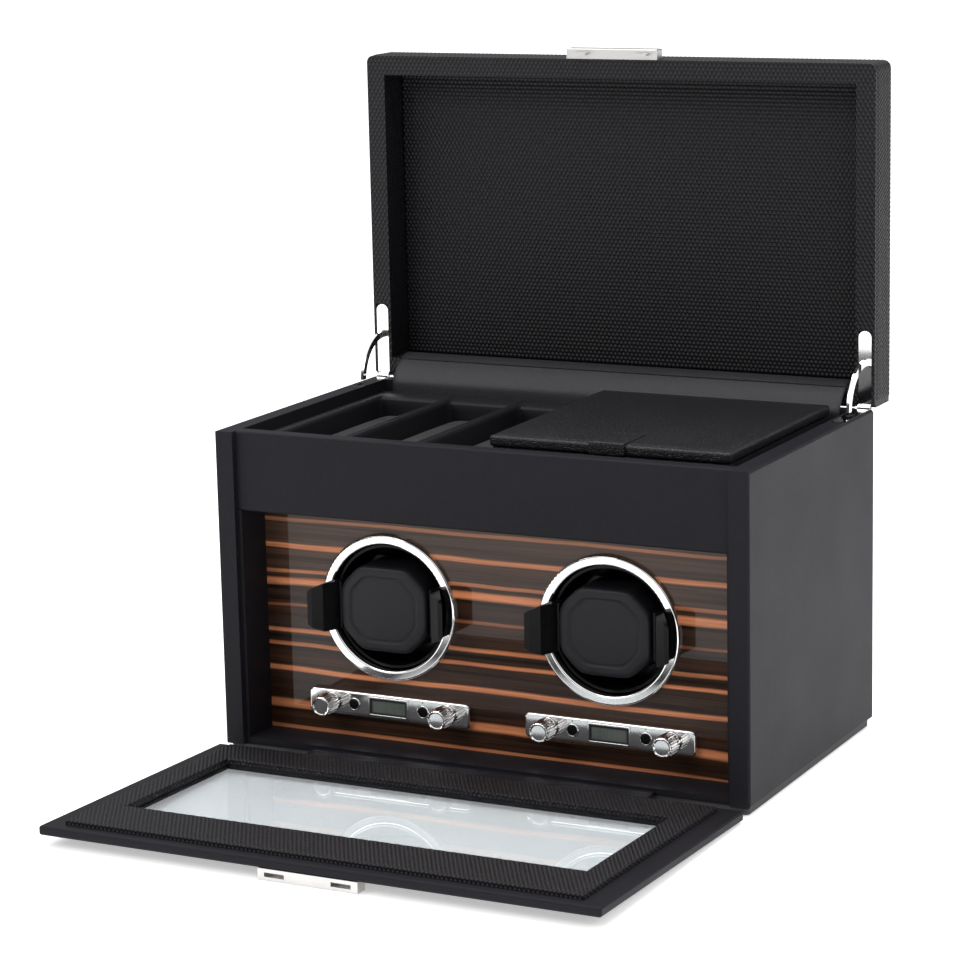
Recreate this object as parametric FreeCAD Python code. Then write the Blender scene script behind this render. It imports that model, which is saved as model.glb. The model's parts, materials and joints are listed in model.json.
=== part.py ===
import FreeCAD, Part
import math
import os

# Watch winder box: two motor driven winders behind a fold-down glass door,
# with a lidded storage tray above them.
# Origin: middle of the box footprint on the floor.  +X right, +Y back, +Z up.
# Millimetres.  Lid and door are built closed and turned to their open rest.

V = FreeCAD.Vector
AXIS_X = V(1, 0, 0)
AXIS_Y = V(0, 1, 0)
AXIS_Z = V(0, 0, 1)

# ---- case -------------------------------------------------------------
WIDTH = 337.0
DEPTH = 197.6
HEIGHT = 195.0
SIDE_T = 12.0
BACK_T = 10.0
EDGE_R = 1.5                 # rounded leather edges
BASE_INSET = 2.0
FELT_T = 0.8
BASE_TOP = 5.0
FLOOR_TOP = 9.0              # floor of the winder compartment
FRONT_SETBACK = 3.6          # fascia and floor edge behind the case front
FASCIA_T = 9.0
FASCIA_LOW = 147.5
PANEL_T = 6.0                # lacquered wood panel
PANEL_SETBACK = 30.0
PANEL_TOP = 150.0
REVEAL_T = 2.5

# ---- storage tray -----------------------------------------------------
TRAY_FLOOR_T = 3.0
TRAY_TOP = 188.0
TRAY_WALL = 7.0
TRAY_DIVIDER = 7.0
TRAY_BACK = 72.0             # front face of the strip behind the slots
SLOTS = 3
WELL_X = -4.0                # left side of the travel case well
PILLOW_GAP = 0.6
PILLOW_LIFT = 0.3
PILLOW_H = 24.0
PILLOW_R = 7.0

# ---- travel case ------------------------------------------------------
TC_X0, TC_X1 = -1.0, 147.0
TC_Y0, TC_Y1 = -73.0, 82.0
TC_SPLIT = 192.8
TC_TOP = 199.0
TC_GAP = 1.5                 # room between the case and its well
TC_LIFT = 0.3                # it stands this far off the tray floor
TC_SEAM = 0.4                # between the case and its lid
TC_R = 6.0
TC_WALL = 4.0
TAB_W, TAB_L, TAB_T = 22.0, 28.0, 1.6

# ---- winders ----------------------------------------------------------
WINDER_X = 71.0
WINDER_Z = 90.5
BEZEL_R = 44.2
BEZEL_IN = 38.0
BEZEL_NECK = 41.2
BEZEL_T = 3.0
DRUM_R = 37.3
DRUM_T = 1.6
DRUM_DEPTH = 38.0
HOUSING_IN = 38.4
HOUSING_OUT = 41.2
HOUSING_DEPTH = 34.0
WEB_T = 3.0                  # plate that carries bearing and motor
HUB_R = 9.0
AXLE_R = 4.0
RUN_GAP = 0.05               # radial running clearance
PULLEY_R = 14.0
PULLEY_T = 5.0
FLANGE_T = 1.0
GROOVE = 1.5                 # depth of the belt groove
BELT_T = 1.2
MOTOR_PULLEY_R = 6.0
MOTOR_R, MOTOR_L = 11.5, 22.0
MOTOR_SHAFT_R = 1.5
MOTOR_DROP = 54.5
CUFF_W, CUFF_H, CUFF_D = 58.0, 52.0, 27.0
CUFF_CORNER = 13.0
CUFF_BACK_T = 3.0
TAB_HALF = 14.0              # half the height of a finger tab at its root
CUFF_FACE = 8.0              # pad face in front of the wood panel

# ---- power inlet ------------------------------------------------------
JACK_Z = 30.0
JACK_R = 4.2                 # threaded neck through the back
JACK_NUT_R = 6.5
JACK_RIM_R = 5.8
JACK_BORE_R = 2.75
JACK_PIN_R = 1.0

# ---- controls ---------------------------------------------------------
PLATE_X = 71.5
PLATE_Z = 30.0
PLATE_W, PLATE_H, PLATE_T = 107.0, 15.0, 4.0
KNOB_DX = 38.5
KNOB_R = 6.5
KNOB_L = 13.0
KNOB_RIBS = 22
SPINDLE_R = 3.0
BUTTON_DX = 23.0
BUTTON_R = 2.9
LCD_W, LCD_H = 23.0, 8.5

# ---- lid --------------------------------------------------------------
LID_GAP = 0.6
LID_T = 29.0
LID_WALL = 12.0
LID_BOARD = 4.0
LID_R = 4.5
LINING_T = 3.0
LATCH_W = 60.0
LATCH_PROUD = 6.4
LATCH_D = 8.0
HOOK_X = 20.0

# ---- door -------------------------------------------------------------
DOOR_T = 5.4
DOOR_GAP = 0.3
DOOR_LOW = 7.0
DOOR_TOP = 194.6
GLASS_W = 280.0
GLASS_LOW, GLASS_TOP = 43.0, 150.0
TRIM_W = 311.0
TRIM_LOW, TRIM_TOP = 14.5, 187.0
TRIM_T = 3.0
GLASS_T = 3.0
DOOR_OPEN = 88.4             # comes to rest on its striker block

FRONT = -DEPTH / 2
BACK = DEPTH / 2
SIDE_X = WIDTH / 2
IN_X = SIDE_X - SIDE_T
PANEL_Y = FRONT + PANEL_SETBACK
PANEL_BACK = PANEL_Y + PANEL_T
BACK_IN = BACK - BACK_T
FASCIA_Y = FRONT + FRONT_SETBACK
FASCIA_BACK = FASCIA_Y + FASCIA_T
TRAY_Z = PANEL_TOP + TRAY_FLOOR_T
DOOR_IN = FRONT - DOOR_GAP
DOOR_OUT = DOOR_IN - DOOR_T

LID_PIVOT = V(0, BACK, HEIGHT + LID_GAP / 2)
DOOR_PIVOT = V(0, FRONT - 4.5, 2.5)
HINGE_PIN_R = 0.8
HINGE_BARREL_R = 2.2
HINGE_SPAN = 6.0
ARM_R = 27.0
ARM_W = 4.0
ARM_T = 1.8
LEAF_L, LEAF_W, LEAF_T = 46.0, 8.0, 1.0
HINGE_X = IN_X + SIDE_T / 2
SCREW_IN = BACK - LEAF_L + 6  # screws sit near the front end of each leaf
SCREW_R, SCREW_HOLE_R, LEAF_HOLE_R = 1.15, 1.4, 1.2
SCREW_L = 8.0
DOOR_HINGE_X = 118.0
DOOR_KNUCKLE_R = 1.9
DOOR_LEAF_HALF = 5.0
DOOR_HINGE_HALF = 10.5
GUSSET_SIDE = 6.0             # each gusset ends this far short of the side panels
DOOR_GUSSET_HALF = 110.0
GUSSET_T = 1.0


def box(x0, x1, y0, y1, z0, z1):
    return Part.makeBox(x1 - x0, y1 - y0, z1 - z0, V(x0, y0, z0))


def rod_x(y, z, r, x0, x1):
    return Part.makeCylinder(r, x1 - x0, V(x0, y, z), AXIS_X)


def rod_y(x, z, r, y0, y1):
    return Part.makeCylinder(r, y1 - y0, V(x, y0, z), AXIS_Y)


def rod_z(x, y, r, z0, z1):
    return Part.makeCylinder(r, z1 - z0, V(x, y, z0), AXIS_Z)


def tube_y(x, z, outer, inner, y0, y1):
    return rod_y(x, z, outer, y0, y1).cut(rod_y(x, z, inner, y0 - 1, y1 + 1))


def prism(points, direction):
    return Part.Face(Part.makePolygon(points + points[:1])).extrude(direction)


def mirrored(shape):
    return shape.mirror(V(0, 0, 0), AXIS_X)


def pair(shape):
    return [shape, mirrored(shape)]


def opened(shape, pivot, degrees):
    turned = shape.copy()
    turned.rotate(pivot, AXIS_X, degrees)
    return turned


def lid_open(shapes):
    return [opened(s, LID_PIVOT, -90) for s in shapes]


def door_open(shapes):
    return [opened(s, DOOR_PIVOT, DOOR_OPEN) for s in shapes]


def round_edges(shape, radius, wanted):
    edges = [e for e in shape.Edges if wanted(e)]
    return shape.makeFillet(radius, edges)


def along(edge, axis):
    if not isinstance(edge.Curve, Part.Line):
        return False
    return abs(abs(edge.Curve.Direction.dot(axis)) - 1) < 1e-6


def cut_all(shape, tools):
    for tool in tools:
        shape = shape.cut(tool)
    return shape


def save(name, shapes):
    solids = [s for shape in shapes for s in shape.Solids]
    body = solids[0] if len(solids) == 1 else Part.makeCompound(solids)
    body.exportStep("parts/" + name + ".step")


def quadrant_slot():
    """Curved pocket in the right side panel that the hinge arm slides into."""
    gap = 0.6
    outer = ARM_R + ARM_W / 2 + gap
    inner = ARM_R - ARM_W / 2 - gap
    x0, x1 = HINGE_X - ARM_T / 2 - gap, HINGE_X + ARM_T / 2 + gap
    y, z = LID_PIVOT.y, LID_PIVOT.z
    swept = rod_x(y, z, outer, x0, x1).cut(rod_x(y, z, inner, x0 - 1, x1 + 1))
    room = box(x0 - 1, x1 + 1, y - outer - 1, y - 1.4, z - outer - 1, z + 1)
    return swept.common(room)


def hinge_barrel(x, pivot, radius, half):
    return rod_x(pivot.y, pivot.z, radius, x - half, x + half)


def make_case():
    panel = box(IN_X, SIDE_X, FRONT, BACK, BASE_TOP, HEIGHT)
    panel = round_edges(panel, EDGE_R, lambda e: e.BoundBox.XMin > SIDE_X - 0.1)
    leaf_seat = box(HINGE_X - LEAF_W / 2 - 0.1, HINGE_X + LEAF_W / 2 + 0.1,
                    BACK - LEAF_L - 0.1, BACK + 1, HEIGHT - LEAF_T, HEIGHT + 1)
    barrel_room = hinge_barrel(HINGE_X, LID_PIVOT, HINGE_BARREL_R + 0.4, HINGE_SPAN + 0.5)
    screw = rod_z(HINGE_X, SCREW_IN, SCREW_HOLE_R, HEIGHT - 9, HEIGHT)
    panel = cut_all(panel, [leaf_seat, barrel_room, quadrant_slot(), screw])
    save("right_side_panel", [panel])
    save("left_side_panel", [mirrored(panel)])

    back = box(-IN_X, IN_X, BACK_IN, BACK, BASE_TOP, HEIGHT)
    back = round_edges(back, EDGE_R, lambda e: along(e, AXIS_X) and e.BoundBox.YMin > BACK - 0.1
                       and e.BoundBox.ZMin > HEIGHT - 1)
    jack_hole = rod_y(0, JACK_Z, JACK_R, BACK_IN - 1, BACK + 1)
    save("back_panel", [back.cut(jack_hole)])

    base = box(-SIDE_X + BASE_INSET, SIDE_X - BASE_INSET, FRONT + BASE_INSET,
               BACK - BASE_INSET, FELT_T, BASE_TOP)
    save("base_board", [round_edges(base, 3.0, lambda e: along(e, AXIS_Z))])
    inset = BASE_INSET + 4
    save("base_felt", [box(-SIDE_X + inset, SIDE_X - inset, FRONT + inset, BACK - inset,
                           0, FELT_T)])
    fascia = box(-IN_X, IN_X, FASCIA_Y, FASCIA_BACK, FASCIA_LOW, HEIGHT)
    save("front_fascia", [round_edges(fascia, EDGE_R, lambda e: along(e, AXIS_X)
                                      and e.BoundBox.YMax < FASCIA_Y + 0.1)])
    save("compartment_floor", [box(-IN_X, IN_X, FASCIA_Y, PANEL_Y, BASE_TOP, FLOOR_TOP)])
    side = box(IN_X - REVEAL_T, IN_X, FASCIA_Y, PANEL_Y, FLOOR_TOP, FASCIA_LOW)
    top = box(-IN_X, IN_X, FASCIA_BACK, PANEL_Y, FASCIA_LOW, PANEL_TOP)
    save("reveal_lining", pair(side) + [top])

    panel = box(-IN_X, IN_X, PANEL_Y, PANEL_BACK, BASE_TOP, PANEL_TOP)
    holes = []
    for sign in (-1, 1):
        holes.append(rod_y(sign * WINDER_X, WINDER_Z, BEZEL_NECK, PANEL_Y - 1, PANEL_BACK + 1))
        for knob in (-1, 1):
            x = sign * PLATE_X + knob * KNOB_DX
            holes.append(rod_y(x, PLATE_Z, SPINDLE_R + 0.5, PANEL_Y - 1, PANEL_BACK + 1))
            x = sign * PLATE_X + knob * BUTTON_DX
            holes.append(rod_y(x, PLATE_Z, BUTTON_R + 0.5, PANEL_Y - 1, PANEL_BACK + 1))
    save("ebony_panel", [cut_all(panel, holes)])

    jack = rod_y(0, JACK_Z, JACK_R, BACK_IN - 6, BACK)
    jack = jack.fuse(rod_y(0, JACK_Z, JACK_NUT_R, BACK_IN - 12, BACK_IN))
    jack = jack.fuse(rod_y(0, JACK_Z, JACK_RIM_R, BACK, BACK + 0.8))
    jack = jack.cut(rod_y(0, JACK_Z, JACK_BORE_R, BACK_IN - 4, BACK + 1))
    save("power_jack", [jack.fuse(rod_y(0, JACK_Z, JACK_PIN_R, BACK_IN - 4, BACK - 1))])


def slot_edges():
    x0 = -IN_X + TRAY_WALL
    x1 = WELL_X - TRAY_WALL
    width = (x1 - x0 - (SLOTS - 1) * TRAY_DIVIDER) / SLOTS
    return [(x0 + n * (width + TRAY_DIVIDER), x0 + n * (width + TRAY_DIVIDER) + width)
            for n in range(SLOTS)]


def make_tray():
    save("tray_floor", [box(-IN_X, IN_X, FASCIA_BACK, BACK_IN, PANEL_TOP, TRAY_Z)])
    slots = slot_edges()
    y0 = FASCIA_BACK + TRAY_WALL
    x0, x1 = slots[0][0], slots[-1][1]
    frame = [box(-IN_X, x0, FASCIA_BACK, BACK_IN, TRAY_Z, TRAY_TOP),
             box(x1, WELL_X, FASCIA_BACK, BACK_IN, TRAY_Z, TRAY_TOP),
             box(x0, x1, FASCIA_BACK, y0, TRAY_Z, TRAY_TOP),
             box(x0, x1, TRAY_BACK, BACK_IN, TRAY_Z, TRAY_TOP)]
    well_y, well_x = TC_Y0 - TC_GAP, TC_X1 + TC_GAP
    frame += [box(WELL_X, IN_X, FASCIA_BACK, well_y, TRAY_Z, TRAY_TOP),
              box(well_x, IN_X, well_y, BACK_IN, TRAY_Z, TRAY_TOP)]
    for left, right in zip(slots[:-1], slots[1:]):
        frame.append(box(left[1], right[0], y0, TRAY_BACK, TRAY_Z, TRAY_TOP))
    save("tray_frame", frame)
    for n, (left, right) in enumerate(slots, 1):
        pillow = box(left + PILLOW_GAP, right - PILLOW_GAP, y0 + PILLOW_GAP,
                     TRAY_BACK - PILLOW_GAP, TRAY_Z + PILLOW_LIFT, TRAY_Z + PILLOW_H)
        pillow = round_edges(pillow, PILLOW_R, lambda e: along(e, AXIS_Y)
                             and e.BoundBox.ZMin > TRAY_Z + 1)
        save("watch_pillow_%d" % n, [pillow])


def make_travel_case():
    def block(z0, z1):
        body = box(TC_X0, TC_X1, TC_Y0, TC_Y1, z0, z1)
        return round_edges(body, TC_R, lambda e: along(e, AXIS_Z))

    inner = box(TC_X0 + TC_WALL, TC_X1 - TC_WALL, TC_Y0 + TC_WALL, TC_Y1 - TC_WALL,
                TRAY_Z + TC_LIFT + TC_WALL, TC_SPLIT + 1)
    save("travel_case_base", [block(TRAY_Z + TC_LIFT, TC_SPLIT - TC_SEAM).cut(inner)])
    lid = block(TC_SPLIT, TC_TOP)
    middle = (TC_X0 + TC_X1) / 2
    left, right = middle - TAB_W / 2, middle + TAB_W / 2
    tab = box(left, right, TC_Y0 - TAB_T, TC_Y0 + TAB_L, TC_TOP, TC_TOP + TAB_T)
    tab = round_edges(tab, 4.0, lambda e: along(e, AXIS_Z) and e.BoundBox.YMin > TC_Y0)
    drop = box(left, right, TC_Y0 - TAB_T, TC_Y0, TC_SPLIT, TC_TOP)
    save("travel_case_lid", [lid, tab.fuse(drop)])


def loop_y(x0, z0, r0, x1, z1, r1, y0, y1):
    """Outside of an open belt round two pulleys whose axes run along Y."""
    reach = math.hypot(x1 - x0, z1 - z0)
    lean = math.asin((r0 - r1) / reach)
    heading = math.atan2(z1 - z0, x1 - x0)
    points = []
    for sign, (x, z, r) in ((1, (x0, z0, r0)), (1, (x1, z1, r1)),
                            (-1, (x1, z1, r1)), (-1, (x0, z0, r0))):
        angle = heading + sign * (math.pi / 2 - lean)
        points.append(V(x + r * math.cos(angle), y0, z + r * math.sin(angle)))
    sides = prism(points, V(0, y1 - y0, 0))
    return sides.fuse(rod_y(x0, z0, r0, y0, y1)).fuse(rod_y(x1, z1, r1, y0, y1))


def make_winders():
    housing_back = PANEL_BACK + HOUSING_DEPTH
    plate_back = housing_back + WEB_T
    pulley_y = plate_back + 2.0
    motor_z = WINDER_Z - MOTOR_DROP
    rings, housings, bearings, motors, belts = [], [], [], [], []
    for sign, side in ((-1, "left"), (1, "right")):
        x = sign * WINDER_X
        ring = tube_y(x, WINDER_Z, BEZEL_R, BEZEL_IN, PANEL_Y - BEZEL_T, PANEL_Y)
        lips = [e for e in ring.Edges if e.BoundBox.YMax < PANEL_Y - BEZEL_T + 0.1]
        ring = ring.makeFillet(1.5, lips)
        rings.append(ring.fuse(tube_y(x, WINDER_Z, BEZEL_NECK, BEZEL_IN, PANEL_Y, PANEL_BACK)))

        shell = tube_y(x, WINDER_Z, HOUSING_OUT, HOUSING_IN, PANEL_BACK, housing_back)
        web = box(x - HOUSING_OUT, x + HOUSING_OUT, housing_back, plate_back,
                  motor_z - 12, WINDER_Z + HOUSING_OUT)
        web = cut_all(web, [rod_y(x, WINDER_Z, HUB_R, FRONT, BACK),
                            rod_y(x, motor_z, 2 * MOTOR_SHAFT_R, FRONT, BACK)])
        housings += [shell, web]
        bearings.append(tube_y(x, WINDER_Z, HUB_R, AXLE_R + RUN_GAP,
                               housing_back, plate_back))
        motors.append(rod_y(x, motor_z, MOTOR_R, housing_back - MOTOR_L, housing_back))

        drum_y0 = PANEL_Y + 2.0
        drum_y1 = drum_y0 + DRUM_DEPTH - 6.0
        drum = rod_y(x, WINDER_Z, DRUM_R, drum_y0, drum_y1)
        drum = drum.cut(rod_y(x, WINDER_Z, DRUM_R - DRUM_T, drum_y0 - 1, drum_y1 - 3))
        drum = drum.cut(rod_y(x, WINDER_Z, AXLE_R, drum_y1 - 4, drum_y1 + 1))
        save("drum_" + side, [drum])
        pulley_end = pulley_y + PULLEY_T
        axle = rod_y(x, WINDER_Z, AXLE_R, drum_y1 - 3, pulley_end + 1)
        flange = rod_y(x, WINDER_Z, PULLEY_R, pulley_y, pulley_y + FLANGE_T)
        rim = rod_y(x, WINDER_Z, PULLEY_R - GROOVE, pulley_y + FLANGE_T, pulley_end - FLANGE_T)
        cap = rod_y(x, WINDER_Z, PULLEY_R, pulley_end - FLANGE_T, pulley_end)
        save("axle_" + side, [axle.fuse(flange).fuse(rim).fuse(cap)])

        shaft = rod_y(x, motor_z, MOTOR_SHAFT_R, housing_back + 0.3, pulley_end + 1)
        small = rod_y(x, motor_z, MOTOR_PULLEY_R, pulley_y, pulley_end)
        groove = tube_y(x, motor_z, MOTOR_PULLEY_R + 1, MOTOR_PULLEY_R - GROOVE,
                        pulley_y + FLANGE_T, pulley_end - FLANGE_T)
        save("motor_pulley_" + side, [shaft.fuse(small).cut(groove)])
        inner = (PULLEY_R - GROOVE + RUN_GAP, MOTOR_PULLEY_R - GROOVE + RUN_GAP)
        band = (pulley_y + FLANGE_T + 0.3, pulley_end - FLANGE_T - 0.3)
        outside = loop_y(x, WINDER_Z, inner[0] + BELT_T, x, motor_z, inner[1] + BELT_T, *band)
        inside = loop_y(x, WINDER_Z, inner[0], x, motor_z, inner[1], band[0] - 1, band[1] + 1)
        belts.append(outside.cut(inside))

        make_cuff(x, side)
    save("bezel_rings", rings)
    save("drum_housings", housings)
    save("bearings", bearings)
    save("motors", motors)
    save("belts", belts)


def octagon(x, z, width, height, corner):
    w, h = width / 2, height / 2
    ring = [(w - corner, h), (w, h - corner), (w, corner - h), (w - corner, -h),
            (corner - w, -h), (-w, corner - h), (-w, h - corner), (corner - w, h)]
    return [(x + dx, z + dz) for dx, dz in ring]


def slab_y(outline, y0, y1):
    return prism([V(x, y0, z) for x, z in outline], V(0, y1 - y0, 0))


def make_cuff(x, side):
    """Watch cuff: padded block in a frame with two flared finger tabs."""
    face = PANEL_Y - CUFF_FACE
    pad = slab_y(octagon(x, WINDER_Z, CUFF_W, CUFF_H, CUFF_CORNER), face, face + CUFF_D)
    front = [e for e in pad.Edges if e.BoundBox.YMax < face + 0.1]
    pad = pad.makeFillet(2.5, front)
    save("cuff_pad_" + side, [pad])
    plate_y = face + CUFF_D
    frame = slab_y(octagon(x, WINDER_Z, CUFF_W + 4, CUFF_H, CUFF_CORNER), plate_y,
                   plate_y + CUFF_BACK_T)
    for sign in (-1, 1):
        root = x + sign * (CUFF_W / 2 + 0.3)
        outline = [(0, plate_y + 1), (0, face + 3), (3, face + 3), (3, plate_y + 1)]
        arm = prism([V(root + sign * dx, y, WINDER_Z - TAB_HALF) for dx, y in outline],
                    V(0, 0, 2 * TAB_HALF))
        outline = [(0, PANEL_Y - 1), (1.5, PANEL_Y - 6), (6.5, face - 8), (12.5, face - 11),
                   (15.5, face - 11), (13.0, face - 7), (8.5, PANEL_Y - 8),
                   (6.5, PANEL_Y - 4.5), (5, PANEL_Y - 1)]
        wing = prism([V(root + sign * dx, y, WINDER_Z - 20) for dx, y in outline], V(0, 0, 40))
        half = [(-1, TAB_HALF + 0.5), (6, TAB_HALF + 0.5), (12.5, 12), (17, 9)]
        taper = half + [(dx, -dz) for dx, dz in reversed(half)]
        shape = prism([V(root + sign * dx, PANEL_Y - 30, WINDER_Z + dz) for dx, dz in taper],
                      V(0, 35, 0))
        frame = frame.fuse(arm).fuse(wing.common(shape))
    save("cuff_frame_" + side, [frame.removeSplitter()])


def knurled_knob(x):
    """Ribbed knob on a spindle that runs back through plate and panel."""
    back = PANEL_Y - PLATE_T - 0.4
    body = rod_y(x, PLATE_Z, KNOB_R, back - KNOB_L, back)
    rims = [e for e in body.Edges if isinstance(e.Curve, Part.Circle)]
    body = body.makeChamfer(0.6, rims)
    ribs = []
    for n in range(KNOB_RIBS):
        angle = 2 * math.pi * n / KNOB_RIBS
        ribs.append(rod_y(x + KNOB_R * math.cos(angle), PLATE_Z + KNOB_R * math.sin(angle),
                          0.55, back - KNOB_L + 2.4, back - 1.6))
    body = body.cut(Part.makeCompound(ribs))
    dish = rod_y(x, PLATE_Z, KNOB_R - 1.6, back - KNOB_L - 1, back - KNOB_L + 0.4)
    spindle = rod_y(x, PLATE_Z, SPINDLE_R, back - 1, PANEL_BACK + 3)
    return body.cut(dish).fuse(spindle)


def make_controls():
    plates, screens, boards = [], [], []
    number = 0
    front = PANEL_Y - PLATE_T
    for sign in (-1, 1):
        x = sign * PLATE_X
        plate = box(x - PLATE_W / 2, x + PLATE_W / 2, front, PANEL_Y,
                    PLATE_Z - PLATE_H / 2, PLATE_Z + PLATE_H / 2)
        plate = round_edges(plate, 3.0, lambda e: along(e, AXIS_Y))
        rim = [e for e in plate.Edges if e.BoundBox.YMax < front + 0.1]
        plate = plate.makeFillet(1.2, rim)
        window = box(x - LCD_W / 2, x + LCD_W / 2, front - 1, front + 1.5,
                     PLATE_Z - LCD_H / 2, PLATE_Z + LCD_H / 2)
        screens.append(box(x - LCD_W / 2, x + LCD_W / 2, front + 0.4, front + 1.5,
                           PLATE_Z - LCD_H / 2, PLATE_Z + LCD_H / 2))
        tools = [window]
        for knob in (-1, 1):
            number += 1
            kx = x + knob * KNOB_DX
            tools.append(rod_y(kx, PLATE_Z, SPINDLE_R + RUN_GAP, front - 1, PANEL_Y + 1))
            save("knob_%d" % number, [knurled_knob(kx)])
            bx = x + knob * BUTTON_DX
            tools.append(rod_y(bx, PLATE_Z, BUTTON_R + 0.1, front - 1, PANEL_Y + 1))
            button = rod_y(bx, PLATE_Z, BUTTON_R, front - 1.2, PANEL_BACK - 1)
            tip = [e for e in button.Edges if e.BoundBox.YMax < front - 1.1]
            save("button_%d" % number, [button.makeFillet(0.5, tip)])
        plates.append(cut_all(plate, tools))
        board = box(x - PLATE_W / 2, x + PLATE_W / 2, PANEL_BACK + 4, PANEL_BACK + 5.6,
                    PLATE_Z - 12, PLATE_Z - 2)
        boards.append(board)
    save("control_plates", plates)
    save("lcd_windows", screens)
    save("control_boards", boards)


def mitred_frame(x, y0, y1, wall, z0, z1):
    """Four rails mitred at the corners, two long ones along X."""
    def rail(outer, inner):
        points = [V(outer[0][0], outer[0][1], z0), V(outer[1][0], outer[1][1], z0),
                  V(inner[1][0], inner[1][1], z0), V(inner[0][0], inner[0][1], z0)]
        return prism(points, V(0, 0, z1 - z0))

    outer = [(-x, y0), (x, y0), (x, y1), (-x, y1)]
    inner = [(-x + wall, y0 + wall), (x - wall, y0 + wall),
             (x - wall, y1 - wall), (-x + wall, y1 - wall)]
    return [rail((outer[n], outer[(n + 1) % 4]), (inner[n], inner[(n + 1) % 4]))
            for n in range(4)]


def lid_hinge_arm():
    """Quadrant arm of the right hinge, closed: it hangs inside the side panel."""
    y, z = LID_PIVOT.y, LID_PIVOT.z
    x0, x1 = HINGE_X - ARM_T / 2, HINGE_X + ARM_T / 2
    band = rod_x(y, z, ARM_R + ARM_W / 2, x0, x1).cut(
        rod_x(y, z, ARM_R - ARM_W / 2, x0 - 1, x1 + 1))
    reach = ARM_R + ARM_W
    quarter = box(x0 - 1, x1 + 1, y - reach, y - 2.0, z - reach, z + LID_GAP / 2 + 0.5)
    return band.common(quarter)


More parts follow.
